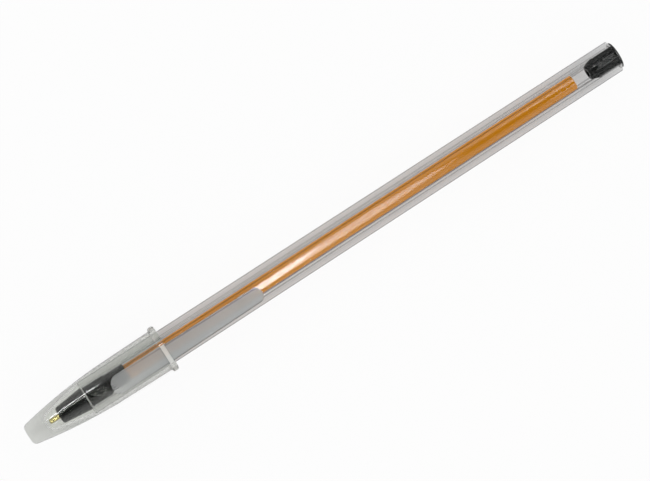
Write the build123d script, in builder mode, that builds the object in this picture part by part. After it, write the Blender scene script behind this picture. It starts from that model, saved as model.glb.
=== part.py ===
"""A clear stick ballpoint pen with a push-on clip cap.

The pen lies along X with its nose towards -X. The origin is the middle of the plug's rear face,
and two flats of the hexagonal barrel are level. All lengths are in millimetres.
"""

import os
from math import atan, cos, degrees, pi, radians, sin, sqrt

from build123d import *

# Fits: radial room in a push fit, of the cap on the barrel, and round the ball in its seat
push_clearance = 0.02
cap_clearance = 0.08
ball_clearance = 0.03

# Barrel: a clear hexagonal tube, drafted towards the rear, with a small vent on its under side
barrel_length = 134.1
barrel_front_flats = 6.9
barrel_rear_flats = 6.5
barrel_sides = 6
barrel_corner_radius = 0.9
barrel_end_chamfer = 0.2
barrel_bore = 4.6
vent_diameter = 0.9
vent_place_share = 0.5

# End plug: a thin disc on a hollow stopper with one sealing ridge and a tapered nose
plug_head_diameter = 6.05
plug_head_thickness = 0.45
plug_head_edge = 0.12
plug_body_length = 4.6
plug_body_gap = 0.1
plug_ridge_width = 0.6
plug_nose_length = 1.75
plug_nose_diameter = 3.2
plug_core_diameter = 1.9
plug_core_depth = 5.0

# Nose cone: a tapered holder for the point, with a stem that plugs the barrel and a sleeve for the tube
cone_length = 6.75
cone_front_diameter = 3.75
cone_base_diameter = 5.3
cone_front_edge = 0.4
stem_length = 5.5
stem_lead = 0.4
sleeve_length = 4.5
sleeve_diameter = 4.0
tube_socket_depth = 6.0
ink_passage_diameter = 1.0

# Ink tube, which ends short of the plug, and the ink, which ends short of the tube
tube_end_gap = 3.65
tube_diameter = 3.4
tube_bore = 2.2
ink_headroom = 13.0

# Brass point and its writing ball
point_diameter = 1.1
point_reach = 2.6
point_straight = 1.8
point_insertion = 4.0
point_bore = 0.6
point_bore_depth = 4.6
feed_diameter = 0.3
ball_diameter = 0.8
ball_rim_share = 0.4
rim_wall = 0.07

# Cap: a bullet-shaped shell with a collar at its mouth; its nose starts at a slope, in degrees
cap_length = 34.1
cap_end_wall = 4.5
cap_tip_room = 0.55
cap_diameter = 9.14
cap_nose_length = 19.5
cap_nose_slope = 2.3
cap_tip_length = 11.0
cap_tip_diameter = 7.9
cap_end_diameter = 4.5
cap_end_radius = 1.1
cap_draft = 0.165
cap_stop_room = 0.1
cap_stop_ledge = 0.5
cavity_end_diameter = 3.0
cavity_end_bevel = 0.6
collar_diameter = 10.7
collar_thickness = 1.4
collar_edge = 0.35
mouth_lead = 0.25

# Clip: its length behind the cap's mouth, and its turn about the pen from the top flat in degrees
clip_length = 23.0
clip_roll = 13.0
clip_root_width = 3.9
clip_tip_width = 3.3
clip_tip_radius = 1.4
clip_root_thickness = 0.95
clip_tip_thickness = 0.7
clip_root_drop = 0.1
clip_tip_drop = 0.2
clip_pad_length = 5.0
clip_pad_ramp = 0.6
clip_pad_gap = 0.15
clip_edge = 0.25
clip_blank_turn = 90.0

# Panel: a low raised strip that carries the clip's line on over the shell, from the cap's mouth forwards
panel_length = 14.1
panel_width = 4.4
panel_rise = 0.3
panel_front_share = 0.9
panel_edge = 0.2

# Places along the pen, from the rear face forwards
barrel_rear_x = -plug_head_thickness
barrel_front_x = barrel_rear_x - barrel_length
cone_front_x = barrel_front_x - cone_length
ball_tip_x = cone_front_x - point_reach
ball_x = ball_tip_x + ball_diameter / 2
rim_x = ball_x - ball_diameter / 2 * ball_rim_share
point_rear_x = cone_front_x + point_insertion
point_taper_x = cone_front_x - point_straight
stem_rear_x = barrel_front_x + stem_length
sleeve_rear_x = stem_rear_x + sleeve_length
tube_front_x = sleeve_rear_x - tube_socket_depth
plug_ridge_x = barrel_rear_x - plug_body_length
plug_taper_x = plug_ridge_x - plug_ridge_width
plug_nose_x = plug_taper_x - plug_nose_length
tube_rear_x = plug_nose_x - tube_end_gap
ink_rear_x = tube_rear_x - ink_headroom
cavity_end_x = ball_tip_x - cap_tip_room
cap_end_x = cavity_end_x - cap_end_wall
cap_nose_x = cap_end_x + cap_nose_length
cap_tip_x = cap_end_x + cap_tip_length
cap_mouth_x = cap_end_x + cap_length
cap_stop_x = barrel_front_x - cap_stop_room
collar_front_x = cap_mouth_x - collar_thickness
clip_root_x = cap_mouth_x - collar_thickness / 2
clip_tip_x = cap_mouth_x + clip_length
clip_pad_x = clip_tip_x - clip_pad_length
panel_front_x = cap_mouth_x - panel_length

# Radii that fit one another
corner_angle = pi / barrel_sides
corner_cut = barrel_corner_radius * (1 / cos(corner_angle) - 1)
barrel_reach = barrel_front_flats / 2 / cos(corner_angle) - corner_cut
barrel_draft = degrees(atan((barrel_front_flats - barrel_rear_flats) / 2 / barrel_length))
cap_bore_radius = barrel_reach + cap_clearance
throat_radius = cap_bore_radius - cap_stop_ledge
stem_radius = barrel_bore / 2 - push_clearance
socket_radius = tube_diameter / 2 + push_clearance
point_hole_radius = point_diameter / 2 + push_clearance
plug_body_radius = barrel_bore / 2 - plug_body_gap
ball_seat_radius = ball_diameter / 2 + ball_clearance
rim_opening = sqrt(ball_seat_radius**2 - (ball_x - rim_x) ** 2)
clip_pad_height = barrel_reach + clip_pad_gap
clip_root_height = collar_diameter / 2 - clip_root_drop
clip_tip_height = clip_root_height - clip_tip_drop
panel_root_radius = (cap_bore_radius + cap_diameter / 2) / 2
panel_front_height = cap_diameter / 2 + panel_rise
panel_rear_height = panel_front_height + cap_draft

# Planes of the barrel's front end and of the clip
front_plane = Plane.YZ.offset(barrel_front_x)
clip_plane = Plane.XY.rotated((clip_roll, 0, 0))

os.makedirs("parts", exist_ok=True)

# Barrel
with BuildPart() as barrel:
    with BuildSketch(front_plane):
        RegularPolygon(barrel_front_flats / 2, barrel_sides, major_radius=False)
    extrude(amount=barrel_length)
    draft(barrel.faces().filter_by(Axis.X, reverse=True), front_plane, barrel_draft)
    corners = barrel.edges().filter_by(lambda edge: edge.length >= barrel_length)
    fillet(corners, barrel_corner_radius)
    chamfer(barrel.faces().filter_by(Axis.X).edges(), barrel_end_chamfer)
    with BuildSketch(front_plane):
        Circle(barrel_bore / 2)
    extrude(amount=barrel_length, mode=Mode.SUBTRACT)
    vent_x = barrel_front_x + barrel_length * vent_place_share
    with Locations(Plane((vent_x, 0, -barrel_front_flats / 2), z_dir=(0, 0, -1))):
        Hole(vent_diameter / 2, barrel_front_flats / 2)
barrel.part.label = "barrel"
export_step(barrel.part, "parts/barrel.step")

# End plug
with BuildPart() as end_plug:
    with BuildSketch():
        with BuildLine():
            Polyline(
                (0, 0),
                (0, plug_head_diameter / 2),
                (barrel_rear_x, plug_head_diameter / 2),
                (barrel_rear_x, plug_body_radius),
                (plug_ridge_x, plug_body_radius),
                ((plug_ridge_x + plug_taper_x) / 2, stem_radius),
                (plug_taper_x, plug_body_radius),
                (plug_nose_x, plug_nose_diameter / 2),
                (plug_nose_x, plug_core_diameter / 2),
                (plug_nose_x + plug_core_depth, plug_core_diameter / 2),
                (plug_nose_x + plug_core_depth, 0),
                (0, 0),
            )
        make_face()
    revolve(axis=Axis.X)
    rear = end_plug.faces().sort_by(Axis.X)[-1]
    chamfer(rear.edges(), plug_head_edge)
end_plug.part.label = "end_plug"
export_step(end_plug.part, "parts/end_plug.step")

# Nose cone with its stem and sleeve
with BuildPart() as nose_cone:
    with BuildSketch() as section:
        with BuildLine():
            Polyline(
                (cone_front_x, cone_front_diameter / 2),
                (barrel_front_x, cone_base_diameter / 2),
                (barrel_front_x, stem_radius),
                (stem_rear_x - stem_lead, stem_radius),
                (stem_rear_x, sleeve_diameter / 2),
                (sleeve_rear_x, sleeve_diameter / 2),
                (sleeve_rear_x, socket_radius),
                (tube_front_x, socket_radius),
                (tube_front_x, ink_passage_diameter / 2),
                (point_rear_x, ink_passage_diameter / 2),
                (point_rear_x, point_hole_radius),
                (cone_front_x, point_hole_radius),
                (cone_front_x, cone_front_diameter / 2),
            )
        make_face()
        front_corner = section.vertices().group_by(Axis.X)[0].sort_by(Axis.Y)[-1]
        chamfer(front_corner, cone_front_edge)
    revolve(axis=Axis.X)
nose_cone.part.label = "nose_cone"
export_step(nose_cone.part, "parts/nose_cone.step")

# Ink tube, pushed into the sleeve
with BuildPart() as ink_tube:
    with BuildSketch(Plane.YZ.offset(tube_front_x)):
        Circle(tube_diameter / 2)
        Circle(tube_bore / 2, mode=Mode.SUBTRACT)
    extrude(amount=tube_rear_x - tube_front_x)
ink_tube.part.label = "ink_tube"
export_step(ink_tube.part, "parts/ink_tube.step")

# Ink: a column in the tube and a thinner thread through the cone to the point
with BuildPart() as ink_column:
    with BuildSketch():
        with BuildLine():
            Polyline(
                (point_rear_x, 0),
                (point_rear_x, ink_passage_diameter / 2 - push_clearance),
                (tube_front_x, ink_passage_diameter / 2 - push_clearance),
                (tube_front_x, tube_bore / 2 - push_clearance),
                (ink_rear_x, tube_bore / 2 - push_clearance),
                (ink_rear_x, 0),
                (point_rear_x, 0),
            )
        make_face()
    revolve(axis=Axis.X)
ink_column.part.label = "ink_column"
export_step(ink_column.part, "parts/ink_column.step")

# Brass point: a drilled peg, tapered to the rim that is closed in round the ball
with BuildPart() as point_socket:
    with BuildSketch():
        with BuildLine():
            Polyline(
                (point_rear_x, point_bore / 2),
                (point_rear_x, point_diameter / 2),
                (point_taper_x, point_diameter / 2),
                (rim_x, rim_opening + rim_wall),
                (rim_x, 0),
                (point_rear_x - point_bore_depth, 0),
                (point_rear_x - point_bore_depth, point_bore / 2),
                (point_rear_x, point_bore / 2),
            )
        make_face()
    revolve(axis=Axis.X)
    with BuildSketch(Plane.YZ.offset(ball_x)):
        Circle(feed_diameter / 2)
    extrude(amount=point_rear_x - ball_x, mode=Mode.SUBTRACT)
    with Locations((ball_x, 0, 0)):
        Sphere(ball_seat_radius, mode=Mode.SUBTRACT)
point_socket.part.label = "point_socket"
export_step(point_socket.part, "parts/point_socket.step")

# Writing ball
with BuildPart() as writing_ball:
    with Locations((ball_x, 0, 0)):
        Sphere(ball_diameter / 2)
writing_ball.part.label = "writing_ball"
export_step(writing_ball.part, "parts/writing_ball.step")

# Clip: a tongue curved about the pen's axis, whose thick pad near its tip bears on the barrel
with BuildPart() as clip:
    with BuildSketch(Plane.XZ.rotated((clip_roll - clip_blank_turn / 2, 0, 0))):
        with BuildLine():
            Polyline(
                (clip_root_x, clip_root_height - clip_root_thickness),
                (clip_root_x, clip_root_height),
                (clip_tip_x, clip_tip_height),
                (clip_tip_x, clip_pad_height),
                (clip_pad_x, clip_pad_height),
                (clip_pad_x - clip_pad_ramp, clip_tip_height - clip_tip_thickness),
                (clip_root_x, clip_root_height - clip_root_thickness),
            )
        make_face()
    revolve(axis=Axis.X, revolution_arc=clip_blank_turn)
    with BuildSketch(clip_plane) as outline:
        with BuildLine():
            Polyline(
                (clip_root_x, clip_root_width / 2),
                (clip_tip_x, clip_tip_width / 2),
                (clip_tip_x, -clip_tip_width / 2),
                (clip_root_x, -clip_root_width / 2),
                (clip_root_x, clip_root_width / 2),
            )
        make_face()
        fillet(outline.vertices().group_by(Axis.X)[-1], clip_tip_radius)
    extrude(amount=collar_diameter, mode=Mode.INTERSECT)
    top = clip.faces().sort_by(Axis((0, 0, 0), clip_plane.z_dir))[-1]
    fillet(top.edges().sort_by(Axis.X)[1:], clip_edge)

# Panel with its rounded front end
with BuildPart() as panel:
    with BuildSketch(Plane.XZ.rotated((clip_roll - clip_blank_turn / 2, 0, 0))):
        with BuildLine():
            Polyline(
                (panel_front_x, panel_root_radius),
                (panel_front_x, panel_front_height),
                (clip_root_x, panel_rear_height),
                (clip_root_x, panel_root_radius),
                (panel_front_x, panel_root_radius),
            )
        make_face()
    revolve(axis=Axis.X, revolution_arc=clip_blank_turn)
    with BuildSketch(clip_plane) as outline:
        with BuildLine():
            Polyline(
                (clip_root_x, panel_width / 2),
                (panel_front_x, panel_width / 2),
                (panel_front_x, -panel_width / 2),
                (clip_root_x, -panel_width / 2),
                (clip_root_x, panel_width / 2),
            )
        make_face()
        fillet(outline.vertices().group_by(Axis.X)[0], panel_width / 2 * panel_front_share)
    extrude(amount=collar_diameter, mode=Mode.INTERSECT)
    top = panel.faces().sort_by(Axis((0, 0, 0), clip_plane.z_dir))[-1]
    chamfer(top.edges().sort_by(Axis.X)[:-1], panel_edge)

# Cap: shell, collar, clip and panel in one moulding
with BuildPart() as cap:
    with BuildSketch() as section:
        with BuildLine():
            shoulder = TangentArc(
                (cap_nose_x, cap_diameter / 2),
                (cap_tip_x, cap_tip_diameter / 2),
                tangent=(-cos(radians(cap_nose_slope)), -sin(radians(cap_nose_slope))),
            )
            TangentArc(
                (cap_tip_x, cap_tip_diameter / 2),
                (cap_end_x, cap_end_diameter / 2),
                tangent=shoulder % 1,
            )
            Polyline(
                (cap_end_x, cap_end_diameter / 2),
                (cap_end_x, 0),
                (cavity_end_x, 0),
                (cavity_end_x, cavity_end_diameter / 2),
                (cap_stop_x, throat_radius),
                (cap_stop_x, cap_bore_radius),
                (cap_mouth_x - mouth_lead, cap_bore_radius),
                (cap_mouth_x, cap_bore_radius + mouth_lead),
                (cap_mouth_x, collar_diameter / 2),
                (collar_front_x, collar_diameter / 2),
                (collar_front_x, cap_diameter / 2 + cap_draft),
                (cap_nose_x, cap_diameter / 2),
            )
        make_face()
        end_corner = section.vertices().group_by(Axis.X)[0].sort_by(Axis.Y)[-1]
        fillet(end_corner, cap_end_radius)
        cavity_corner = section.vertices().filter_by_position(Axis.X, cavity_end_x, cavity_end_x)[-1]
        chamfer(cavity_corner, cavity_end_bevel)
        collar_corners = section.vertices().group_by(Axis.Y)[-1]
        chamfer(collar_corners, collar_edge)
    revolve(axis=Axis.X)
    add(clip.part)
    add(panel.part)
cap.part.label = "cap"
export_step(cap.part, "parts/cap.step")
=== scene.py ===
"""A clear stick ballpoint pen with a push-on clip cap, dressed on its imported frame.

The pen lies along X with its nose towards -X, and two flats of its barrel are level. Sizes are in
millimetres, and become metres as each mesh is made.
"""

from __future__ import annotations

import logging
import math
from abc import ABC, abstractmethod
from collections.abc import Callable
from dataclasses import dataclass
from enum import Enum

import bmesh
import bpy
from mathutils import Matrix, Vector


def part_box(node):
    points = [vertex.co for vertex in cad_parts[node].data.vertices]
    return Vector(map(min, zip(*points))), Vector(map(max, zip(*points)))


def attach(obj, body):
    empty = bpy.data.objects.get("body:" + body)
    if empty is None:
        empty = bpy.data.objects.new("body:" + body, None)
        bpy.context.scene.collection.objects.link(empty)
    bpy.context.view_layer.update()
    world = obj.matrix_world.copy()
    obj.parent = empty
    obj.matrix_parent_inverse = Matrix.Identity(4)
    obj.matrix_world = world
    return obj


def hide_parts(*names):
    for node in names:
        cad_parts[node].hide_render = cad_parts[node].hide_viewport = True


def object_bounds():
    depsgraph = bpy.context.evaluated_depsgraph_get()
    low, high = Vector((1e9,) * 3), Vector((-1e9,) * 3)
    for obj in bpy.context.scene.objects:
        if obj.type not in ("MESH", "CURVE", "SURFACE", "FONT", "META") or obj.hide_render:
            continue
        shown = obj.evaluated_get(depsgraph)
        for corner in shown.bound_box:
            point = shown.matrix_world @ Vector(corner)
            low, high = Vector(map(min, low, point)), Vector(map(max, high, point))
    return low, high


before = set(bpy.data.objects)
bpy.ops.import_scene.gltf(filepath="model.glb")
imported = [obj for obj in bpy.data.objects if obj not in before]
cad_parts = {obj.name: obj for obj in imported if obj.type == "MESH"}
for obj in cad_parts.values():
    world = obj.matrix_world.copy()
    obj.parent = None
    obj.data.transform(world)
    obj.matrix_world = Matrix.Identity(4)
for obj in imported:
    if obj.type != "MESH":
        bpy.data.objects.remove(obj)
cad_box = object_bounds()

log = logging.getLogger("pen")

MM = 0.001
TOUCH = 1e-7

Colour = tuple[float, float, float]
Place = tuple[float, float, float]
Pair = tuple[float, float]
Outline = list[Vector]
Reach = Callable[[float], float]
Socket = bpy.types.NodeSocket

UNIT: Pair = (0.0, 1.0)

# The clip's turn about the pen from the top, in degrees
CLIP_ROLL = 13.0


class Body(Enum):
    """The bodies of the frame that new pieces ride on."""

    PEN = "pen"
    CAP = "cap"


class Slot(Enum):
    """The record's material slots, which no piece in this script is given."""

    BARREL = "clear_barrel"
    CAP = "clear_cap"
    BLACK = "black_plastic"
    TUBE = "orange_tube"
    BRASS = "brass"


class Join(Enum):
    """How one solid mesh is worked into another."""

    ADD = "UNION"
    CUT = "DIFFERENCE"


def span(node: str) -> Pair:
    """Give the ends of a node along the pen.

    Args:
        node: The node's name.

    Returns:
        The lowest and highest X, in millimetres.
    """
    low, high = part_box(node)
    return low.x / MM, high.x / MM


def tangent_arc(start: Vector, heading: Vector, end: Vector, steps: int) -> tuple[Outline, Vector]:
    """Draw an arc that leaves a point along a heading and ends at another point.

    Args:
        start: The point that the arc leaves.
        heading: The unit direction in which it leaves.
        end: The point where it ends.
        steps: How many straight steps stand for the arc.

    Returns:
        The points after the start, and the heading at the end.
    """
    chord = end - start
    side = Vector((-heading.y, heading.x))
    centre = start + side * (chord.length_squared / (2 * chord.dot(side)))
    sweep = 2 * math.atan2(heading.cross(chord), heading.dot(chord))
    points = []
    for step in range(1, steps + 1):
        turn = Matrix.Rotation(sweep * step / steps, 2)
        points.append(centre + turn @ (start - centre))
    return points, Matrix.Rotation(sweep, 2) @ heading


def blend_along(x: float, ends: Pair, values: Pair) -> float:
    """Give a value that changes evenly between two places.

    Args:
        x: The place that is asked for.
        ends: The two places.
        values: The values there.

    Returns:
        The value at the place.
    """
    return values[0] + (values[1] - values[0]) * (x - ends[0]) / (ends[1] - ends[0])


def rounded_half(half: float, corner: float, from_end: float) -> float:
    """Give half the width of a strip near an end with round corners.

    Args:
        half: Half the width away from the end.
        corner: The radius of the corners.
        from_end: How far the place is from the end.

    Returns:
        Half the width there.
    """
    into_corner = min(corner, max(0.0, corner - from_end))
    return half - corner + math.sqrt(corner**2 - into_corner**2)


def lathe(outline: Outline, segments: int) -> bmesh.types.BMesh:
    """Spin a section about the pen's axis into a closed solid.

    Args:
        outline: Points of X and radius, round the section, whose last joins the first unless both
            are on the axis.
        segments: Steps round the axis.

    Returns:
        The solid, in metres, with its faces pointing outwards.
    """
    mesh = bmesh.new()
    verts = [mesh.verts.new((point.x * MM, 0.0, point.y * MM)) for point in outline]
    edges = [mesh.edges.new(pair) for pair in zip(verts, verts[1:])]
    if outline[0].y > 0.0 or outline[-1].y > 0.0:
        edges.append(mesh.edges.new((verts[-1], verts[0])))
    bmesh.ops.spin(
        mesh,
        geom=verts + edges,
        cent=(0, 0, 0),
        axis=(1, 0, 0),
        angle=math.tau,
        steps=segments,
        use_merge=True,
    )
    bmesh.ops.remove_doubles(mesh, verts=mesh.verts, dist=TOUCH)
    bmesh.ops.recalc_face_normals(mesh, faces=mesh.faces)
    return mesh


def round_ring(mesh: bmesh.types.BMesh, x: float, radius: float, size: float, segments: int = 4) -> None:
    """Round the ring edge of a spun solid.

    Args:
        mesh: The solid.
        x: The ring's place along the pen.
        radius: The ring's radius.
        size: The radius of the rounding.
        segments: Steps across the rounding.
    """
    near = 1e-3

    def on_ring(vert: bmesh.types.BMVert) -> bool:
        """Tell whether a vertex lies on the ring."""
        reach = math.hypot(vert.co.y, vert.co.z) / MM
        return abs(vert.co.x / MM - x) < near and abs(reach - radius) < near

    ring = [edge for edge in mesh.edges if all(on_ring(vert) for vert in edge.verts)]
    bmesh.ops.bevel(
        mesh, geom=ring, offset=size * MM, affect="EDGES", segments=segments, profile=0.5, material=-1
    )


def rough_object(mesh: bmesh.types.BMesh, name: str) -> bpy.types.Object:
    """Put a mesh into a new object at the origin.

    Args:
        mesh: The mesh, which is freed.
        name: The object's name.

    Returns:
        The object.
    """
    data = bpy.data.meshes.new(name)
    mesh.to_mesh(data)
    mesh.free()
    piece = bpy.data.objects.new(name, data)
    bpy.context.scene.collection.objects.link(piece)
    return piece


def work_in(piece: bpy.types.Object, tool: bpy.types.Object, join: Join) -> None:
    """Add a solid to a piece or cut it out of it, and remove the solid.

    Args:
        piece: The piece that is changed.
        tool: The solid that is used up.
        join: Whether the solid is added or cut out.
    """
    change = piece.modifiers.new("change", "BOOLEAN")
    change.operation = join.value
    change.solver = "EXACT"
    change.object = tool
    depsgraph = bpy.context.evaluated_depsgraph_get()
    changed = bpy.data.meshes.new_from_object(piece.evaluated_get(depsgraph))
    before = piece.data
    piece.modifiers.clear()
    piece.data = changed
    changed.name = piece.name
    bpy.data.meshes.remove(before)
    bpy.data.objects.remove(tool)


def finish_piece(
    piece: bpy.types.Object,
    node: str,
    body: Body,
    material: bpy.types.Material,
    sharp: float = 32.0,
) -> bpy.types.Object:
    """Smooth a piece, dress it and put it in the place of its node.

    Args:
        piece: The piece.
        node: The node that it stands for.
        body: The body that it rides on.
        material: Its material.
        sharp: The angle in degrees above which an edge stays crisp.

    Returns:
        The piece.
    """
    data = piece.data
    data.materials.clear()
    data.materials.append(material)
    data.shade_smooth()
    data.set_sharp_from_angle(angle=math.radians(sharp))
    normals = piece.modifiers.new("normals", "WEIGHTED_NORMAL")
    normals.keep_sharp = True
    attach(piece, body.value)
    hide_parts(node)
    return piece


def dress_node(node: str, material: bpy.types.Material) -> None:
    """Give a node of the frame that stays in view its material.

    Args:
        node: The node's name.
        material: Its material.
    """
    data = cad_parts[node].data
    data.materials.clear()
    data.materials.append(material)


@dataclass(frozen=True)
class Grain:
    """A noise over a piece: its blotches to a millimetre along each axis, and its finer layers."""

    per_mm: tuple[float, float, float]
    detail: float = 2.0


class FinishTree:
    """A new material with short ways to add the nodes that a finish needs.

    Most of a noise lies between noise_ends. A strip's mark is full within full_share of its half width.
    """

    noise_ends: Pair = (0.3, 0.7)
    full_share: float = 0.96

    def __init__(self, name: str) -> None:
        """Start a material that holds one Principled shader.

        Args:
            name: The material's name.
        """
        self.material = bpy.data.materials.new(name)
        self.material.use_nodes = True
        self.tree = self.material.node_tree
        self.shader = next(node for node in self.tree.nodes if node.type == "BSDF_PRINCIPLED")

    def link(self, source: Socket, target: Socket) -> None:
        """Join two sockets."""
        self.tree.links.new(source, target)

    def place(self) -> Socket:
        """Add the place on the piece, in metres."""
        return self.tree.nodes.new("ShaderNodeTexCoord").outputs["Object"]

    def parts(self, place: Socket) -> bpy.types.Node:
        """Split a place.

        Args:
            place: The place's socket.

        Returns:
            A node whose outputs are X, Y and Z.
        """
        split = self.tree.nodes.new("ShaderNodeSeparateXYZ")
        self.link(place, split.inputs["Vector"])
        return split

    def work_out(self, operation: str, *inputs: Socket | float) -> Socket:
        """Add a step of arithmetic.

        Args:
            operation: Blender's name for the step.
            inputs: What goes into it, as sockets or numbers.

        Returns:
            The result's socket.
        """
        step = self.tree.nodes.new("ShaderNodeMath")
        step.operation = operation
        for socket, value in zip(step.inputs, inputs):
            if isinstance(value, Socket):
                self.link(value, socket)
            else:
                socket.default_value = value
        return step.outputs["Value"]

    def spread(self, value: Socket, start: Pair, end: Pair) -> Socket:
        """Map a value from one range to another, and hold it at the ends.

        Args:
            value: The value's socket.
            start: The ends of the range that it comes from.
            end: The ends of the range that it goes to.

        Returns:
            The new value's socket.
        """
        spread = self.tree.nodes.new("ShaderNodeMapRange")
        for name, limit in zip(("From Min", "From Max", "To Min", "To Max"), (*start, *end)):
            spread.inputs[name].default_value = limit
        self.link(value, spread.inputs["Value"])
        return spread.outputs["Result"]

    def grain(self, grain: Grain) -> Socket:
        """Add noise over the piece.

        Args:
            grain: The noise.

        Returns:
            The noise's socket, from 0 to 1.
        """
        scale = self.tree.nodes.new("ShaderNodeMapping")
        noise = self.tree.nodes.new("ShaderNodeTexNoise")
        scale.inputs["Scale"].default_value = [count / MM for count in grain.per_mm]
        noise.inputs["Scale"].default_value = 1.0
        noise.inputs["Detail"].default_value = grain.detail
        self.link(self.place(), scale.inputs["Vector"])
        self.link(scale.outputs["Vector"], noise.inputs["Vector"])
        return noise.outputs["Fac"]

    def reach(self, slope: float) -> Socket:
        """Add the distance from the pen's axis.

        Args:
            slope: How many millimetres it is raised by for each one along the pen.

        Returns:
            The distance's socket, in metres.
        """
        place = self.place()
        across = self.tree.nodes.new("ShaderNodeVectorMath")
        across.operation = "MULTIPLY"
        across.inputs[1].default_value = (0.0, 1.0, 1.0)
        length = self.tree.nodes.new("ShaderNodeVectorMath")
        length.operation = "LENGTH"
        self.link(place, across.inputs[0])
        self.link(across.outputs["Vector"], length.inputs[0])
        along = self.parts(place).outputs["X"]
        return self.work_out("MULTIPLY_ADD", along, slope, length.outputs["Value"])

    def turned(self, roll: float) -> bpy.types.Node:
        """Add the place on the piece, turned so that one line of the pen is its top.

        Args:
            roll: The line's turn about the pen from the top, in degrees.

        Returns:
            A node whose outputs are X, Y and Z, in metres.
        """
        turn = self.tree.nodes.new("ShaderNodeMapping")
        turn.inputs["Rotation"].default_value = (-math.radians(roll), 0.0, 0.0)
        self.link(self.place(), turn.inputs["Vector"])
        return self.parts(turn.outputs["Vector"])

    def aside(self, roll: float, slope: float) -> Socket:
        """Add the distance to either side of one line of the pen.

        Args:
            roll: The line's turn about the pen from the top, in degrees.
            slope: How many millimetres it is raised by for each one along the pen.

        Returns:
            The distance's socket, in metres.
        """
        parts = self.turned(roll).outputs
        distance = self.work_out("ABSOLUTE", parts["Y"])
        return self.work_out("MULTIPLY_ADD", parts["X"], slope, distance)

    def between(self, value: Socket, ends: Pair) -> Socket:
        """Mark where a length lies between two ends.

        Args:
            value: The length's socket, in metres.
            ends: The ends, in millimetres.

        Returns:
            The mark's socket, 1 between the ends and 0 outside them.
        """
        middle = (ends[0] + ends[1]) / 2 * MM
        half = (ends[1] - ends[0]) / 2 * MM
        return self.work_out("COMPARE", value, middle, half)

    def both(self, first: Socket, second: Socket) -> Socket:
        """Mark where two marks meet."""
        return self.work_out("MULTIPLY", first, second)

    def raised_strip(self, roll: float, half: float, reach: Pair) -> Socket:
        """Mark what stands out from the axis along one line of the pen.

        Args:
            roll: The line's turn about the pen from the top, in degrees.
            half: Half the width of the strip, in millimetres.
            reach: The distances from the axis, in millimetres, where the mark starts and is full.

        Returns:
            The mark's socket, 1 on the strip and 0 off it.
        """
        limits = (
            (self.reach(0.0), reach),
            (self.aside(roll, 0.0), (half, half * self.full_share)),
            (self.turned(roll).outputs["Z"], (0.0, half)),
        )
        tall, near, upper = (
            self.spread(value, (start * MM, full * MM), UNIT) for value, (start, full) in limits
        )
        return self.both(self.both(tall, near), upper)

    def cut_end(self, x: float, depth: float) -> Socket:
        """Mark the front end of a piece.

        Args:
            x: The end's place along the pen, in millimetres.
            depth: How far the mark reaches behind it, in millimetres.

        Returns:
            The mark's socket, 1 at the end and 0 behind it.
        """
        ends = ((x + depth) * MM, (x + depth / 2) * MM)
        return self.spread(self.parts(self.place()).outputs["X"], ends, UNIT)

    def colour(self, value: Socket, low: Colour, high: Colour) -> None:
        """Vary the base colour between two colours.

        Args:
            value: The socket of the noise that it follows.
            low: The colour where the noise is low.
            high: The colour where it is high.
        """
        ramp = self.tree.nodes.new("ShaderNodeValToRGB")
        first, last = ramp.color_ramp.elements
        first.position, last.position = self.noise_ends
        first.color, last.color = (*low, 1.0), (*high, 1.0)
        self.link(value, ramp.inputs["Fac"])
        self.link(ramp.outputs["Color"], self.shader.inputs["Base Color"])

    def tint(self, mark: Socket, tint: Colour) -> None:
        """Multiply the base colour by a tint where a mark is 1, to paint shade.

        Args:
            mark: The mark's socket.
            tint: The painted shade's colour.
        """
        mixed = self.tree.nodes.new("ShaderNodeMix")
        mixed.data_type = "RGBA"
        mixed.blend_type = "MULTIPLY"
        mixed.inputs["B"].default_value = (*tint, 1.0)
        target = self.shader.inputs["Base Color"]
        source = target.links[0].from_socket
        self.link(mark, mixed.inputs["Factor"])
        self.link(source, mixed.inputs["A"])
        self.link(mixed.outputs["Result"], target)

    def roughness(self, value: Socket, ends: Pair) -> None:
        """Vary the roughness between two ends, as a noise does."""
        self.link(self.spread(value, self.noise_ends, ends), self.shader.inputs["Roughness"])

    def milky(self, mark: Socket, clearness: float, haze: float) -> None:
        """Let less light through, and spread it, where a mark is 1.

        Args:
            mark: The mark's socket.
            clearness: The share of light that passes there.
            haze: The roughness that is added there.
        """
        through = self.spread(mark, UNIT, (1.0, clearness))
        self.link(through, self.shader.inputs["Transmission Weight"])
        target = self.shader.inputs["Roughness"]
        source = target.links[0].from_socket
        self.link(self.work_out("MULTIPLY_ADD", mark, haze, source), target)

    def gloss(self, mark: Socket, weights: Pair) -> None:
        """Lay a clear gloss over the surface, with one weight where a mark is 0 and one where it is 1."""
        self.link(self.spread(mark, UNIT, weights), self.shader.inputs["Coat Weight"])

    def bump(self, value: Socket, depth: float, strength: float) -> None:
        """Raise the surface where a noise is high.

        Args:
            value: The noise's socket.
            depth: How far it is raised, in millimetres.
            strength: How much of that shows.
        """
        bump = self.tree.nodes.new("ShaderNodeBump")
        bump.inputs["Strength"].default_value = strength
        bump.inputs["Distance"].default_value = depth * MM
        self.link(value, bump.inputs["Height"])
        self.link(bump.outputs["Normal"], self.shader.inputs["Normal"])

    def absorb(self, colour: Colour, density: float) -> None:
        """Let the depth of the plastic take away light.

        Args:
            colour: The colour that it lets through.
            density: How much light it takes per metre.
        """
        depth = self.tree.nodes.new("ShaderNodeVolumeAbsorption")
        depth.inputs["Color"].default_value = (*colour, 1.0)
        depth.inputs["Density"].default_value = density
        out = next(node for node in self.tree.nodes if node.type == "OUTPUT_MATERIAL")
        self.link(depth.outputs["Volume"], out.inputs["Volume"])

    def set(self, **values: float) -> None:
        """Set sockets that are the same all over, with their names' spaces as underscores."""
        for name, value in values.items():
            self.shader.inputs[name.replace("_", " ")].default_value = value


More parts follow.
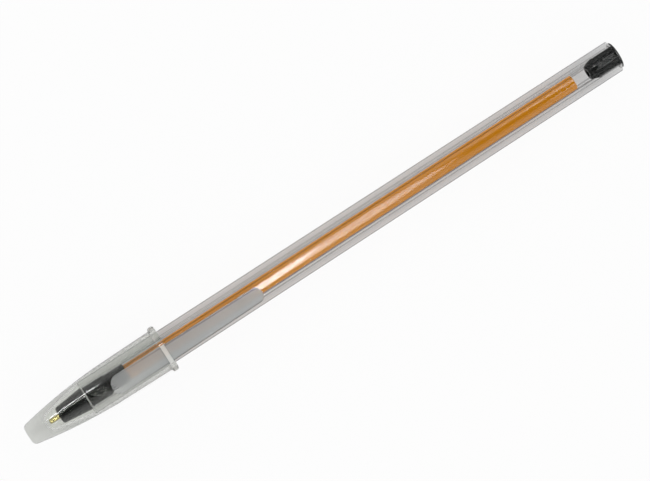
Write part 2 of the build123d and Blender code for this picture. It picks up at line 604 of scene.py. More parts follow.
@dataclass(frozen=True, kw_only=True)
class ClearPlastic(ABC):
    """Clear moulded plastic with faint flow lines along the pen.

    Its gloss has two weights, for the clear plastic and for its milky part.
    """

    name: str
    deep: Colour
    pale: Colour
    index: float
    rough: Pair
    milky_clearness: float
    milky_haze: float
    depth_colour: Colour
    depth_density: float
    gloss: Pair = (0.0, 0.0)
    gloss_rough: float = 0.03
    flow: Grain = Grain((0.01, 0.5, 0.5))
    polish: Grain = Grain((0.4, 2.0, 2.0), detail=4.0)

    @abstractmethod
    def milky_mark(self, tree: FinishTree) -> Socket:
        """Mark where the plastic is milky."""

    @abstractmethod
    def paint_shade_marks(self, tree: FinishTree, mark: Socket) -> None:
        """Paint shade where the plastic bends the light away, given the milky mark."""

    def make(self) -> bpy.types.Material:
        """Make the material.

        Returns:
            The material.
        """
        tree = FinishTree(self.name)
        tree.colour(tree.grain(self.flow), self.deep, self.pale)
        tree.roughness(tree.grain(self.polish), self.rough)
        mark = self.milky_mark(tree)
        tree.milky(mark, self.milky_clearness, self.milky_haze)
        tree.gloss(mark, self.gloss)
        # Paint shade where the plastic bends the light away
        self.paint_shade_marks(tree, mark)
        tree.absorb(self.depth_colour, self.depth_density)
        tree.set(IOR=self.index, Coat_Roughness=self.gloss_rough)
        return tree.material


@dataclass(frozen=True, kw_only=True)
class BarrelPlastic(ClearPlastic):
    """Clear plastic whose cut front end is dull, with painted shade in lines along its corners."""

    # The corner colour paints shade along the rounded corners, where its reach and slope place it
    corner: Colour
    corner_shade_reach: Pair
    corner_shade_slope: float
    end_depth: float

    def milky_mark(self, tree: FinishTree) -> Socket:
        """Mark the cut end."""
        return tree.cut_end(span("barrel")[0], self.end_depth)

    def paint_shade_marks(self, tree: FinishTree, mark: Socket) -> None:
        """Paint shade in lines at the ends of the rounded corners, for the light that they bend away."""
        tree.tint(tree.between(tree.reach(self.corner_shade_slope), self.corner_shade_reach), self.corner)


@dataclass(frozen=True, kw_only=True)
class CapPlastic(ClearPlastic):
    """Clear plastic that is milky in the clip, with painted shade that greys the clip and darkens its edges
    more.
    """

    strip_roll: float
    strip_half: float
    strip_reach: Pair
    # The strip and edge colours paint shade over the clip and along its edges
    clip_shade_reach: Pair
    strip: Colour
    edge: Colour
    edge_shade_aside: Pair
    edge_shade_slope: float

    def milky_mark(self, tree: FinishTree) -> Socket:
        """Mark the clip."""
        return tree.raised_strip(self.strip_roll, self.strip_half, self.strip_reach)

    def paint_shade_marks(self, tree: FinishTree, mark: Socket) -> None:
        """Paint shade over the clip, and more along its edges.

        Args:
            tree: The material that gets the painted shade.
            mark: The clip's mark.
        """
        clip = tree.both(tree.between(tree.reach(0.0), self.clip_shade_reach), mark)
        edges = tree.between(tree.aside(self.strip_roll, self.edge_shade_slope), self.edge_shade_aside)
        tree.tint(clip, self.strip)
        tree.tint(tree.both(edges, clip), self.edge)


@dataclass(frozen=True, kw_only=True)
class MouldedPlastic:
    """Black moulded plastic with a fine eggshell grain."""

    name: str
    deep: Colour
    pale: Colour
    index: float = 1.4
    rough: Pair = (0.13, 0.2)
    mottle: Grain = Grain((0.5, 0.8, 0.8))
    polish: Grain = Grain((1.5, 1.5, 1.5), detail=4.0)
    eggshell: Grain = Grain((6.0, 6.0, 6.0), detail=3.0)
    eggshell_depth: float = 0.001
    eggshell_strength: float = 0.5

    def make(self) -> bpy.types.Material:
        """Make the material.

        Returns:
            The material.
        """
        tree = FinishTree(self.name)
        tree.colour(tree.grain(self.mottle), self.deep, self.pale)
        tree.roughness(tree.grain(self.polish), self.rough)
        tree.bump(tree.grain(self.eggshell), self.eggshell_depth, self.eggshell_strength)
        tree.set(IOR=self.index)
        return tree.material


@dataclass(frozen=True, kw_only=True)
class ExtrudedPlastic:
    """Coloured tube plastic, drawn into faint streaks along its length."""

    name: str
    deep: Colour
    pale: Colour
    index: float = 1.68
    rough: Pair = (0.06, 0.09)
    streak: Grain = Grain((0.02, 1.6, 1.6), detail=3.0)
    streak_depth: float = 0.002
    streak_strength: float = 0.3
    polish: Grain = Grain((0.3, 2.5, 2.5), detail=3.0)

    def make(self) -> bpy.types.Material:
        """Make the material.

        Returns:
            The material.
        """
        tree = FinishTree(self.name)
        streaks = tree.grain(self.streak)
        tree.colour(streaks, self.deep, self.pale)
        tree.roughness(tree.grain(self.polish), self.rough)
        tree.bump(streaks, self.streak_depth, self.streak_strength)
        tree.set(IOR=self.index)
        return tree.material


@dataclass(frozen=True, kw_only=True)
class TurnedMetal:
    """Metal with the fine rings that turning or grinding leaves about the pen's axis."""

    name: str
    deep: Colour
    pale: Colour
    rough: Pair
    mottle: Grain = Grain((2.0, 2.0, 2.0))
    ring: Grain = Grain((14.0, 0.4, 0.4))
    ring_depth: float = 0.004
    ring_strength: float = 0.6

    def make(self) -> bpy.types.Material:
        """Make the material.

        Returns:
            The material.
        """
        tree = FinishTree(self.name)
        rings = tree.grain(self.ring)
        tree.colour(tree.grain(self.mottle), self.deep, self.pale)
        tree.roughness(rings, self.rough)
        tree.bump(rings, self.ring_depth, self.ring_strength)
        tree.set(Metallic=1.0)
        return tree.material


@dataclass(frozen=True, kw_only=True)
class OilInk:
    """Thick glossy ink with slow swirls."""

    name: str
    deep: Colour
    pale: Colour
    rough: Pair = (0.06, 0.16)
    swirl: Grain = Grain((0.15, 0.7, 0.7), detail=3.0)
    swirl_depth: float = 0.01
    swirl_strength: float = 0.3

    def make(self) -> bpy.types.Material:
        """Make the material.

        Returns:
            The material.
        """
        tree = FinishTree(self.name)
        swirls = tree.grain(self.swirl)
        tree.colour(swirls, self.deep, self.pale)
        tree.roughness(swirls, self.rough)
        tree.bump(swirls, self.swirl_depth, self.swirl_strength)
        return tree.material


@dataclass(frozen=True)
class Finishes:
    """Every finish on the pen."""

    barrel: BarrelPlastic = BarrelPlastic(
        name="clear_barrel_plastic",
        deep=(0.95, 0.95, 0.95),
        pale=(0.98, 0.98, 0.98),
        # The corner colour is painted shade in lines along the corners. It stands in for the light that the
        # corners bend away, as the index is low
        corner=(0.42, 0.42, 0.42),
        corner_shade_reach=(3.48, 3.58),
        corner_shade_slope=0.00165,
        # A higher index in this round bore shows the tube too narrow
        index=1.025,
        rough=(0.005, 0.02),
        milky_clearness=0.4,
        milky_haze=0.3,
        depth_colour=(0.5, 0.495, 0.485),
        depth_density=85.0,
        end_depth=0.4,
    )
    cap: CapPlastic = CapPlastic(
        name="clear_cap_plastic",
        deep=(0.94, 0.95, 0.92),
        pale=(0.975, 0.985, 0.955),
        index=1.25,
        rough=(0.08, 0.12),
        milky_clearness=0.35,
        milky_haze=0.35,
        depth_colour=(0.5, 0.51, 0.48),
        depth_density=70.0,
        gloss=(0.35, 0.01),
        strip_roll=CLIP_ROLL,
        strip_half=2.3,
        strip_reach=(4.7, 5.05),
        # strip and edge are painted shade over the clip and along its edges
        clip_shade_reach=(4.82, 5.28),
        strip=(0.49, 0.51, 0.53),
        edge=(0.5, 0.5, 0.5),
        edge_shade_aside=(0.27, 0.54),
        edge_shade_slope=0.01266,
    )
    black: MouldedPlastic = MouldedPlastic(
        name="black_moulded_plastic", deep=(0.004, 0.005, 0.005), pale=(0.009, 0.011, 0.010)
    )
    tube: ExtrudedPlastic = ExtrudedPlastic(
        name="orange_tube_plastic", deep=(0.82, 0.3, 0.008), pale=(0.9, 0.35, 0.014)
    )
    ink: OilInk = OilInk(name="black_oil_ink", deep=(0.004, 0.004, 0.006), pale=(0.012, 0.012, 0.018))
    brass: TurnedMetal = TurnedMetal(
        name="turned_brass", deep=(0.42, 0.36, 0.16), pale=(0.52, 0.46, 0.22), rough=(0.24, 0.4)
    )
    carbide: TurnedMetal = TurnedMetal(
        name="ground_hard_metal", deep=(0.36, 0.36, 0.38), pale=(0.5, 0.5, 0.52), rough=(0.12, 0.26)
    )


@dataclass
class Holder:
    """The clear hexagonal barrel and the black plug in its rear end."""

    finishes: Finishes
    black: bpy.types.Material
    rear_flats: float = 6.5
    sides: int = 6
    corner_radius: float = 0.9
    corner_steps: int = 8
    end_rounding: float = 0.2
    end_steps: int = 3
    bore: float = 4.6
    bore_segments: int = 96
    vent: float = 0.9
    vent_share: float = 0.5
    vent_segments: int = 32
    head_radius: float = 3.025
    head_thickness: float = 0.45
    head_rounding: float = 0.14
    body_length: float = 4.6
    body_radius: float = 2.2
    ridge_width: float = 0.6
    ridge_radius: float = 2.28
    ridge_rounding: float = 0.15
    nose_radius: float = 1.6
    nose_rounding: float = 0.12
    core_radius: float = 0.95
    core_depth: float = 5.0
    segments: int = 96

    def build_barrel(self) -> bpy.types.Object:
        """Model the barrel: a drafted hexagonal tube with rounded corners, a round bore and a vent.

        Returns:
            The barrel.
        """
        front_x, rear_x = span("barrel")
        low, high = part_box("barrel")
        front_flats = (high.z - low.z) / MM
        to_corner = 1 / (2 * math.cos(math.pi / self.sides))
        draft = self.rear_flats / front_flats
        mesh = bmesh.new()
        self.draw_tube(mesh, self.sides, front_flats * to_corner, draft)
        corners = [edge for edge in mesh.edges if abs(edge.verts[0].co.x - edge.verts[1].co.x) > MM]
        bmesh.ops.bevel(
            mesh,
            geom=corners,
            offset=self.corner_radius * math.tan(math.pi / self.sides) * MM,
            affect="EDGES",
            segments=self.corner_steps,
            profile=0.5,
            material=-1,
        )
        self.draw_tube(mesh, self.bore_segments, self.bore / 2, 1.0)
        rims = [edge for x in (front_x, rear_x) for edge in self.close_end(mesh, x)]
        bmesh.ops.recalc_face_normals(mesh, faces=mesh.faces)
        bmesh.ops.bevel(
            mesh,
            geom=rims,
            offset=self.end_rounding * MM,
            affect="EDGES",
            segments=self.end_steps,
            profile=0.5,
            material=-1,
        )
        barrel = rough_object(mesh, "barrel_body")
        work_in(barrel, self.vent_drill(front_x + (rear_x - front_x) * self.vent_share), Join.CUT)
        return barrel

    def draw_tube(self, mesh: bmesh.types.BMesh, sides: int, radius: float, draft: float) -> None:
        """Draw an open tube of the barrel's length into its mesh.

        Args:
            mesh: The barrel's mesh.
            sides: How many sides the tube has.
            radius: Its radius to a corner at the front.
            draft: Its size at the rear, as a share of that at the front.
        """
        front_x, rear_x = span("barrel")
        place = Matrix.Translation((front_x * MM, 0, 0)) @ Matrix.Rotation(math.pi / 2, 4, "Y")
        ring = bmesh.ops.create_circle(mesh, segments=sides, radius=radius * MM, matrix=place)["verts"]
        edges = list(dict.fromkeys(edge for vert in ring for edge in vert.link_edges))
        drawn = bmesh.ops.extrude_edge_only(mesh, edges=edges)["geom"]
        rear_end = [item for item in drawn if isinstance(item, bmesh.types.BMVert)]
        bmesh.ops.scale(mesh, verts=rear_end, vec=(1, draft, draft))
        bmesh.ops.translate(mesh, verts=rear_end, vec=((rear_x - front_x) * MM, 0, 0))

    def close_end(self, mesh: bmesh.types.BMesh, x: float) -> list[bmesh.types.BMEdge]:
        """Close an end between the hexagon and the bore.

        Args:
            mesh: The barrel's mesh.
            x: The end's place along the pen.

        Returns:
            The edges of the hexagon there.
        """
        rims = [edge for edge in mesh.edges if all(abs(vert.co.x - x * MM) < TOUCH for vert in edge.verts)]
        bmesh.ops.triangle_fill(mesh, edges=rims, normal=(1, 0, 0), use_beauty=True)
        past_bore = (self.bore + self.rear_flats) / 4 * MM
        return [edge for edge in rims if math.hypot(edge.verts[0].co.y, edge.verts[0].co.z) > past_bore]

    def vent_drill(self, x: float) -> bpy.types.Object:
        """Make the drill that cuts the vent in the barrel's under side.

        Args:
            x: The vent's place along the pen.

        Returns:
            The drill.
        """
        mesh = bmesh.new()
        depth = self.rear_flats
        place = Matrix.Translation((x * MM, 0, -depth / 2 * MM))
        bmesh.ops.create_cone(
            mesh,
            cap_ends=True,
            segments=self.vent_segments,
            radius1=self.vent / 2 * MM,
            radius2=self.vent / 2 * MM,
            depth=depth * MM,
            matrix=place,
        )
        return rough_object(mesh, "vent_drill")

    def build_plug(self) -> bpy.types.Object:
        """Model the end plug: a thin disc on a cored stopper with a sealing ridge.

        Returns:
            The plug.
        """
        nose_x, rear_x = span("end_plug")
        seat_x = rear_x - self.head_thickness
        ridge_x = seat_x - self.body_length
        taper_x = ridge_x - self.ridge_width
        core_x = nose_x + self.core_depth
        crown = Vector(((ridge_x + taper_x) / 2, self.ridge_radius))
        outline = [
            Vector((rear_x, 0.0)),
            Vector((rear_x, self.head_radius)),
            Vector((seat_x, self.head_radius)),
            Vector((seat_x, self.body_radius)),
            Vector((ridge_x, self.body_radius)),
            crown,
            Vector((taper_x, self.body_radius)),
            Vector((nose_x, self.nose_radius)),
            Vector((nose_x, self.core_radius)),
            Vector((core_x, self.core_radius)),
            Vector((core_x, 0.0)),
        ]
        mesh = lathe(outline, self.segments)
        round_ring(mesh, rear_x, self.head_radius, self.head_rounding)
        round_ring(mesh, seat_x, self.head_radius, self.head_rounding)
        round_ring(mesh, crown.x, crown.y, self.ridge_rounding)
        round_ring(mesh, nose_x, self.nose_radius, self.nose_rounding)
        return rough_object(mesh, "end_plug_body")

    def build(self) -> list[bpy.types.Object]:
        """Build and dress the barrel and the plug.

        Returns:
            The barrel and the plug.
        """
        clear = self.finishes.barrel.make()
        return [
            finish_piece(self.build_barrel(), "barrel", Body.PEN, clear),
            finish_piece(self.build_plug(), "end_plug", Body.PEN, self.black),
        ]


@dataclass
class Refill:
    """The nose cone, ink tube and brass point, with the ink and the ball that they hold."""

    finishes: Finishes
    black: bpy.types.Material
    cone_length: float = 6.75
    cone_front_radius: float = 1.875
    cone_base_radius: float = 2.65
    cone_front_rounding: float = 0.45
    cone_base_rounding: float = 0.12
    stem_length: float = 5.5
    stem_radius: float = 2.28
    stem_lead: float = 0.4
    sleeve_radius: float = 2.0
    sleeve_rounding: float = 0.12
    socket_depth: float = 6.0
    socket_radius: float = 1.72
    passage_radius: float = 0.5
    tube_bore_radius: float = 1.1
    tube_rounding: float = 0.12
    point_straight: float = 1.8
    point_insertion: float = 4.0
    point_radius: float = 0.55
    point_bore_radius: float = 0.3
    point_bore_depth: float = 4.6
    point_groove: float = 0.05
    rim_wall: float = 0.07
    seat_radius: float = 0.43
    feed_radius: float = 0.15
    seat_steps: int = 10
    segments: int = 96

    def build_cone(self) -> bpy.types.Object:
        """Model the nose cone with the stem that plugs the barrel and the sleeve for the tube.

        Returns:
            The cone.
        """
        front_x, rear_x = span("nose_cone")
        base_x = front_x + self.cone_length
        stem_x = base_x + self.stem_length
        socket_x = rear_x - self.socket_depth
        point_x = front_x + self.point_insertion
        hole_radius = self.point_radius
        outline = [
            Vector((front_x, hole_radius)),
            Vector((front_x, self.cone_front_radius)),
            Vector((base_x, self.cone_base_radius)),
            Vector((base_x, self.stem_radius)),
            Vector((stem_x - self.stem_lead, self.stem_radius)),
            Vector((stem_x, self.sleeve_radius)),
            Vector((rear_x, self.sleeve_radius)),
            Vector((rear_x, self.socket_radius)),
            Vector((socket_x, self.socket_radius)),
            Vector((socket_x, self.passage_radius)),
            Vector((point_x, self.passage_radius)),
            Vector((point_x, hole_radius)),
        ]
        mesh = lathe(outline, self.segments)
        round_ring(mesh, front_x, self.cone_front_radius, self.cone_front_rounding)
        round_ring(mesh, base_x, self.cone_base_radius, self.cone_base_rounding)
        round_ring(mesh, rear_x, self.sleeve_radius, self.sleeve_rounding)
        return rough_object(mesh, "nose_cone_body")

    def build_tube(self) -> bpy.types.Object:
        """Model the ink tube.

        Returns:
            The tube.
        """
        front_x, rear_x = span("ink_tube")
        low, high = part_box("ink_tube")
        radius = (high.z - low.z) / 2 / MM
        outline = [
            Vector((front_x, self.tube_bore_radius)),
            Vector((front_x, radius)),
            Vector((rear_x, radius)),
            Vector((rear_x, self.tube_bore_radius)),
        ]
        mesh = lathe(outline, self.segments)
        round_ring(mesh, rear_x, radius, self.tube_rounding)
        round_ring(mesh, rear_x, self.tube_bore_radius, self.tube_rounding)
        return rough_object(mesh, "ink_tube_body")

    def build_point(self) -> bpy.types.Object:
        """Model the brass point, whose rim is closed in round the ball.

        Returns:
            The point.
        """
        rim_x, rear_x = span("point_socket")
        ball_low, ball_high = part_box("writing_ball")
        ball_x = (ball_low.x + ball_high.x) / 2 / MM
        taper_x = rear_x - self.point_insertion - self.point_straight
        bore_x = rear_x - self.point_bore_depth
        opening = math.acos((ball_x - rim_x) / self.seat_radius)
        feed = math.pi - math.asin(self.feed_radius / self.seat_radius)
        seat = []
        for step in range(self.seat_steps + 1):
            angle = opening + (feed - opening) * step / self.seat_steps
            place = Vector((-math.cos(angle), math.sin(angle)))
            seat.append(Vector((ball_x, 0.0)) + place * self.seat_radius)
        outline = [
            Vector((rear_x, self.point_bore_radius)),
            Vector((rear_x, self.point_radius)),
            Vector((taper_x, self.point_radius)),
            Vector((rim_x, seat[0].y + self.rim_wall)),
            *seat,
            Vector((bore_x, self.feed_radius)),
            Vector((bore_x, self.point_bore_radius)),
        ]
        mesh = lathe(outline, self.segments)
        round_ring(mesh, taper_x, self.point_radius, self.point_groove)
        return rough_object(mesh, "brass_point_body")

    def build(self) -> list[bpy.types.Object]:
        """Build and dress the cone, tube and point, and dress the ink and the ball.

        Returns:
            The cone, the tube and the point.
        """
        orange, brass = self.finishes.tube.make(), self.finishes.brass.make()
        pieces = [
            finish_piece(self.build_cone(), "nose_cone", Body.PEN, self.black),
            finish_piece(self.build_tube(), "ink_tube", Body.PEN, orange),
            finish_piece(self.build_point(), "point_socket", Body.PEN, brass),
        ]
        dress_node("ink_column", self.finishes.ink.make())
        dress_node("writing_ball", self.finishes.carbide.make())
        return pieces


@dataclass
class Cap:
    """The clear cap: a bullet-shaped shell with a collar at its mouth and a tongue clip."""

    finishes: Finishes
    length: float = 34.1
    end_wall: float = 4.5
    radius: float = 4.57
    nose_length: float = 19.5
    nose_slope: float = 2.3
    tip_length: float = 11.0
    tip_radius: float = 3.95
    end_round_length: float = 0.88
    end_round_radius: float = 2.43
    end_flat_radius: float = 1.35
    draft: float = 0.165
    throat_length: float = 9.8
    throat_radius: float = 3.4245
    bore_radius: float = 3.9245
    cavity_end_radius: float = 1.5
    cavity_end_bevel: float = 1.2
    cavity_end_steps: int = 6
    collar_radius: float = 5.35
    collar_thickness: float = 1.4
    collar_rounding: float = 0.45
    collar_fillet: float = 0.25
    mouth_lead: float = 0.25
    clip_roll: float = CLIP_ROLL
    clip_root_width: float = 3.9
    clip_tip_width: float = 3.3
    clip_tip_radius: float = 1.4
    clip_root_thickness: float = 0.95
    clip_tip_thickness: float = 0.7
    clip_root_height: float = 5.25
    clip_tip_height: float = 5.05
    clip_pad_height: float = 3.9945
    clip_pad_length: float = 5.0
    clip_pad_ramp: float = 0.6
    panel_length: float = 14.1
    panel_width: float = 4.4
    panel_rise: float = 0.3
    panel_front_share: float = 0.9
    panel_root_radius: float = 4.25
    strip_rounding: float = 0.22
    strip_rounding_steps: int = 4
    strip_steps: int = 48
    strip_cross_steps: int = 16
    arc_steps: int = 24
    segments: int = 128

    def build_shell(self) -> bmesh.types.BMesh:
        """Model the shell and its collar.

        Returns:
            The shell.
        """
        end_x = span("cap")[0]
        mouth_x = end_x + self.length
        cavity_x = end_x + self.end_wall
        stop_x = cavity_x + self.throat_length
        collar_x = mouth_x - self.collar_thickness
        nose = Vector((end_x + self.nose_length, self.radius))
        tip = Vector((end_x + self.tip_length, self.tip_radius))
        round_start = Vector((end_x + self.end_round_length, self.end_round_radius))
        flat = Vector((end_x, self.end_flat_radius))
        body_radius = self.radius + self.draft
        slope = math.radians(self.nose_slope)
        start = Vector((-math.cos(slope), -math.sin(slope)))
        shoulder, heading = tangent_arc(nose, start, tip, self.arc_steps)
        taper, heading = tangent_arc(tip, heading, round_start, self.arc_steps)
        end_round, heading = tangent_arc(round_start, heading, flat, self.arc_steps // 2)
        outline = [
            Vector((cavity_x, 0.0)),
            Vector((cavity_x, self.cavity_end_radius)),
            Vector((stop_x, self.throat_radius)),
            Vector((stop_x, self.bore_radius)),
            Vector((mouth_x - self.mouth_lead, self.bore_radius)),
            Vector((mouth_x, self.bore_radius + self.mouth_lead)),
            Vector((mouth_x, self.collar_radius)),
            Vector((collar_x, self.collar_radius)),
            Vector((collar_x, body_radius)),
            nose,
            *shoulder,
            *taper,
            *end_round,
            Vector((end_x, 0.0)),
        ]
        mesh = lathe(outline, self.segments)
        round_ring(mesh, cavity_x, self.cavity_end_radius, self.cavity_end_bevel, self.cavity_end_steps)
        round_ring(mesh, mouth_x, self.collar_radius, self.collar_rounding)
        round_ring(mesh, collar_x, self.collar_radius, self.collar_rounding)
        round_ring(mesh, collar_x, body_radius, self.collar_fillet)
        return mesh

    def build_strip(self, ends: Pair, half: Reach, top: Reach, under: Reach) -> bmesh.types.BMesh:
        """Model a strip that curves about the pen's axis on the clip's line.

        Args:
            ends: Its square end and its rounded end along the pen.
            half: Half its width at a place along the pen.
            top: The height of its upper face there.
            under: The height of its under face there.

        Returns:
            The strip, with its upper rim rounded.
        """
        mesh = bmesh.new()
        rims = []
        for height in (top, under):
            sheet = bmesh.ops.create_grid(
                mesh, x_segments=self.strip_steps, y_segments=self.strip_cross_steps, size=1.0
            )["verts"]
            for vert in sheet:
                x = ends[0] + (ends[1] - ends[0]) * math.sin(math.pi / 4 * (vert.co.x + 1.0))
                y = vert.co.y * half(x)
                vert.co = Vector((x, y, math.sqrt(height(x) ** 2 - y**2))) * MM
            edges = dict.fromkeys(edge for vert in sheet for edge in vert.link_edges)
            rims.append([edge for edge in edges if edge.is_boundary])
        bmesh.ops.bridge_loops(mesh, edges=rims[0] + rims[1])
        bmesh.ops.recalc_face_normals(mesh, faces=mesh.faces)
        upper_rim = [
            edge for edge in rims[0] if any(abs(vert.co.x - ends[0] * MM) > TOUCH for vert in edge.verts)
        ]
        bmesh.ops.bevel(
            mesh,
            geom=upper_rim,
            offset=self.strip_rounding * MM,
            affect="EDGES",
            segments=self.strip_rounding_steps,
            profile=0.5,
            material=-1,
            clamp_overlap=True,
        )
        turn = Matrix.Rotation(math.radians(self.clip_roll), 3, "X")
        bmesh.ops.rotate(mesh, verts=mesh.verts, cent=(0, 0, 0), matrix=turn)
        return mesh

    def build_clip(self) -> bmesh.types.BMesh:
        """Model the tongue with the pad under its tip.

        Returns:
            The tongue.
        """
        tip_x = span("cap")[1]
        root_x = span("cap")[0] + self.length - self.collar_thickness / 2
        ramp_x = tip_x - self.clip_pad_length - self.clip_pad_ramp
        root_under = self.clip_root_height - self.clip_root_thickness
        ramp_under = self.clip_tip_height - self.clip_tip_thickness

        def half(x: float) -> float:
            """Give half the width, drawn in round the tip."""
            width = blend_along(x, (root_x, tip_x), (self.clip_root_width, self.clip_tip_width))
            return rounded_half(width / 2, self.clip_tip_radius, tip_x - x)

        def top(x: float) -> float:
            """Give the height of the upper face."""
            return blend_along(x, (root_x, tip_x), (self.clip_root_height, self.clip_tip_height))

        def under(x: float) -> float:
            """Give the height of the under face, with the pad.

            Args:
                x: The place along the pen.

            Returns:
                The height there.
            """
            if x < ramp_x:
                return blend_along(x, (root_x, ramp_x), (root_under, ramp_under))
            pad_x = ramp_x + self.clip_pad_ramp
            return blend_along(min(x, pad_x), (ramp_x, pad_x), (ramp_under, self.clip_pad_height))

        return self.build_strip((root_x, tip_x), half, top, under)

    def build_panel(self) -> bmesh.types.BMesh:
        """Model the low raised panel that carries the clip's line on over the shell.

        Returns:
            The panel.
        """
        mouth_x = span("cap")[0] + self.length
        root_x = mouth_x - self.collar_thickness / 2
        front_x = mouth_x - self.panel_length
        front_height = self.radius + self.panel_rise

        def half(x: float) -> float:
            """Give half the width, drawn in round the front."""
            width = self.panel_width / 2
            return rounded_half(width, width * self.panel_front_share, x - front_x)

        def top(x: float) -> float:
            """Give the height of the upper face."""
            return blend_along(x, (front_x, root_x), (front_height, front_height + self.draft))

        def under(x: float) -> float:
            """Give the height of the under face, within the shell's wall."""
            return self.panel_root_radius

        return self.build_strip((root_x, front_x), half, top, under)

    def build(self) -> list[bpy.types.Object]:
        """Build and dress the cap.

        Returns:
            The cap.
        """
        cap = rough_object(self.build_shell(), "cap_body")
        work_in(cap, rough_object(self.build_panel(), "panel_blank"), Join.ADD)
        work_in(cap, rough_object(self.build_clip(), "clip_blank"), Join.ADD)
        return [finish_piece(cap, "cap", Body.CAP, self.finishes.cap.make())]


@dataclass(frozen=True)
class Sheen:
    """A rectangular lamp that shows in gloss, and leaves the soft light to the surround.

    Its place, its aim and the sides of its face are in millimetres. A glow of 1 is as bright as white
    paper in the surround. Rays with fewer dull bounces behind them than dull_limit meet the lamp.
    """

    name: str
    place: Place
    aim: Place
    face: Pair
    glow: float
    dull_limit: float = 0.5

    def hang(self) -> None:
        """Hang the lamp at its place, facing its aim."""
        width, height = (side * MM for side in self.face)
        light = bpy.data.lights.new(self.name, "AREA")
        light.shape = "RECTANGLE"
        light.size, light.size_y = width, height
        light.energy = self.glow * math.pi * width * height
        self.show_in_gloss(light)
        lamp = bpy.data.objects.new(self.name, light)
        lamp.visible_diffuse = False
        lamp.location = Vector(self.place) * MM
        lamp.rotation_euler = (Vector(self.place) - Vector(self.aim)).to_track_quat("Z", "Y").to_euler()
        bpy.context.scene.collection.objects.link(lamp)

    def show_in_gloss(self, light: bpy.types.Light) -> None:
        """Put the lamp out for rays that a dull face has sent on.

        Args:
            light: The lamp's light.
        """
        light.use_nodes = True
        tree = light.node_tree
        face = next(node for node in tree.nodes if node.type == "EMISSION")
        path = tree.nodes.new("ShaderNodeLightPath")
        gloss = tree.nodes.new("ShaderNodeMath")
        gloss.operation = "LESS_THAN"
        gloss.inputs[1].default_value = self.dull_limit
        tree.links.new(path.outputs["Diffuse Depth"], gloss.inputs[0])
        tree.links.new(gloss.outputs["Value"], face.inputs["Strength"])


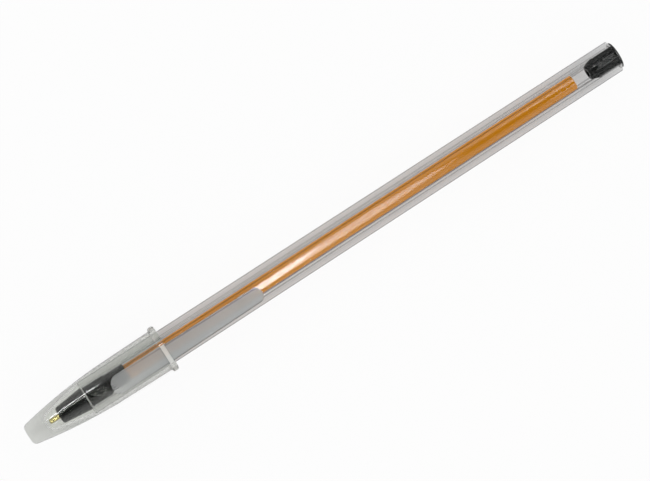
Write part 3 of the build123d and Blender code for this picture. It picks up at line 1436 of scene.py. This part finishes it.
@dataclass
class Studio:
    """The floor, the lights and the camera."""

    floor_size: float = 4000.0
    floor_gap: float = 0.05
    floor_paint: Colour = (0.95, 0.95, 0.95)
    backdrop_share: float = 0.94
    backdrop_through: float = 0.25
    zenith: float = 0.04
    horizon: float = 1.25
    ceiling_edge: Pair = (0.75, 0.95)
    key_strip: Sheen = Sheen(
        "key_strip", place=(-34.0, -450.0, 785.0), aim=(-34.0, -450.0, 0.0), face=(60.0, 1800.0), glow=36.0
    )
    tail_strip: Sheen = Sheen(
        "tail_strip", place=(36.0, -100.0, 785.0), aim=(36.0, -100.0, 0.0), face=(80.0, 1900.0), glow=5.0
    )
    rear_strip: Sheen = Sheen(
        "rear_strip", place=(210.0, 250.0, 785.0), aim=(210.0, 250.0, 0.0), face=(90.0, 1500.0), glow=3.0
    )
    side_box: Sheen = Sheen(
        "side_box", place=(-311.0, 390.0, 675.0), aim=(-138.0, 0.0, 0.0), face=(200.0, 90.0), glow=25.0
    )
    camera_foot_x: float = -128.95
    camera_distance: float = 550.0
    camera_lean: float = 4.2
    camera_roll: float = 32.973
    camera_near: float = 10.0
    aim_x: float = -74.40
    aim_y: float = 0.55
    lens: float = 144.58
    sensor: float = 36.0

    def build_floor(self) -> None:
        """Lay the floor just under the collar, and make it white to the eye."""
        mesh = bmesh.new()
        height = cad_box[0].z - self.floor_gap * MM
        place = Matrix.Translation((0, 0, height))
        bmesh.ops.create_grid(mesh, x_segments=1, y_segments=1, size=self.floor_size / 2 * MM, matrix=place)
        floor = rough_object(mesh, "studio_floor")
        material = bpy.data.materials.new("studio_floor_paint")
        material.use_nodes = True
        tree = material.node_tree
        tree.nodes.clear()
        paint = tree.nodes.new("ShaderNodeBsdfDiffuse")
        paint.inputs["Color"].default_value = (*self.floor_paint, 1.0)
        glow = tree.nodes.new("ShaderNodeEmission")
        mixed = tree.nodes.new("ShaderNodeMixShader")
        seen = backdrop_rays(tree, self.backdrop_share, self.backdrop_through)
        out = tree.nodes.new("ShaderNodeOutputMaterial")
        tree.links.new(seen, mixed.inputs["Fac"])
        tree.links.new(paint.outputs["BSDF"], mixed.inputs[1])
        tree.links.new(glow.outputs["Emission"], mixed.inputs[2])
        tree.links.new(mixed.outputs["Shader"], out.inputs["Surface"])
        floor.data.materials.append(material)

    def build_world(self) -> None:
        """Set a white surround for the eye, and as light a softer one that is dark overhead."""
        world = bpy.data.worlds.new("studio_world")
        bpy.context.scene.world = world
        world.use_nodes = True
        tree = world.node_tree
        tree.nodes.clear()
        soft = tree.nodes.new("ShaderNodeBackground")
        white = tree.nodes.new("ShaderNodeBackground")
        white.inputs["Color"].default_value = (1.0, 1.0, 1.0, 1.0)
        path = tree.nodes.new("ShaderNodeLightPath")
        place = tree.nodes.new("ShaderNodeTexCoord")
        parts = tree.nodes.new("ShaderNodeSeparateXYZ")
        shade = tree.nodes.new("ShaderNodeMapRange")
        shade.inputs["From Min"].default_value = self.ceiling_edge[0]
        shade.inputs["From Max"].default_value = self.ceiling_edge[1]
        shade.inputs["To Min"].default_value = self.horizon
        shade.inputs["To Max"].default_value = self.zenith
        mixed = tree.nodes.new("ShaderNodeMixShader")
        out = tree.nodes.new("ShaderNodeOutputWorld")
        tree.links.new(place.outputs["Generated"], parts.inputs["Vector"])
        tree.links.new(parts.outputs["Z"], shade.inputs["Value"])
        tree.links.new(shade.outputs["Result"], soft.inputs["Strength"])
        tree.links.new(path.outputs["Is Camera Ray"], mixed.inputs["Fac"])
        tree.links.new(soft.outputs["Background"], mixed.inputs[1])
        tree.links.new(white.outputs["Background"], mixed.inputs[2])
        tree.links.new(mixed.outputs["Shader"], out.inputs["Surface"])

    def build_camera(self) -> None:
        """Set the camera above the cap's end, turned so that the pen rises across the picture."""
        lean = math.radians(self.camera_lean)
        rise = Vector((0, math.sin(lean), math.cos(lean))) * self.camera_distance
        place = Vector((self.camera_foot_x, 0, 0)) + rise
        back = (place - Vector((self.aim_x, self.aim_y, 0.0))).normalized()
        along = Vector((1, 0, 0)) - back * back.x
        along.normalize()
        across = back.cross(along)
        roll = math.radians(self.camera_roll)
        right = along * math.cos(roll) - across * math.sin(roll)
        up = along * math.sin(roll) + across * math.cos(roll)
        data = bpy.data.cameras.new("camera")
        data.lens = self.lens
        data.sensor_width = self.sensor
        data.clip_start = self.camera_near * MM
        camera = bpy.data.objects.new("camera", data)
        turned = Matrix((right, up, back)).transposed().to_4x4()
        camera.matrix_world = Matrix.Translation(place * MM) @ turned
        bpy.context.scene.collection.objects.link(camera)
        bpy.context.scene.camera = camera

    def build(self) -> None:
        """Set up the whole studio."""
        self.build_floor()
        self.build_world()
        for lamp in (self.key_strip, self.tail_strip, self.rear_strip, self.side_box):
            lamp.hang()
        self.build_camera()
        bpy.context.scene.view_settings.view_transform = "Standard"


def backdrop_rays(tree: bpy.types.NodeTree, seen: float, through: float) -> Socket:
    """Say how much of the plain backdrop each kind of ray meets.

    Args:
        tree: The node tree that asks.
        seen: The share for rays from the eye.
        through: The share for rays that gloss and clear plastic send on.

    Returns:
        A socket with that share, and 0 for the light's own rays.
    """
    path = tree.nodes.new("ShaderNodeLightPath")
    weights = {"Is Camera Ray": seen, "Is Glossy Ray": through, "Is Transmission Ray": through}
    share = None
    for name, weight in weights.items():
        weighed = tree.nodes.new("ShaderNodeMath")
        weighed.operation = "MULTIPLY"
        weighed.inputs[1].default_value = weight
        tree.links.new(path.outputs[name], weighed.inputs[0])
        if share is not None:
            larger = tree.nodes.new("ShaderNodeMath")
            larger.operation = "MAXIMUM"
            tree.links.new(share, larger.inputs[0])
            tree.links.new(weighed.outputs["Value"], larger.inputs[1])
            weighed = larger
        share = weighed.outputs["Value"]
    return share


def main() -> None:
    """Build the pen's sub-assemblies and the studio in order, and report each piece."""
    logging.basicConfig(level=logging.INFO, format="%(message)s")
    finishes = Finishes()
    black = finishes.black.make()
    pieces = Holder(finishes, black).build() + Refill(finishes, black).build() + Cap(finishes).build()
    for piece in pieces:
        log.info("%s: %d faces", piece.name, len(piece.data.polygons))
    Studio().build()


if __name__ == "__main__":
    main()
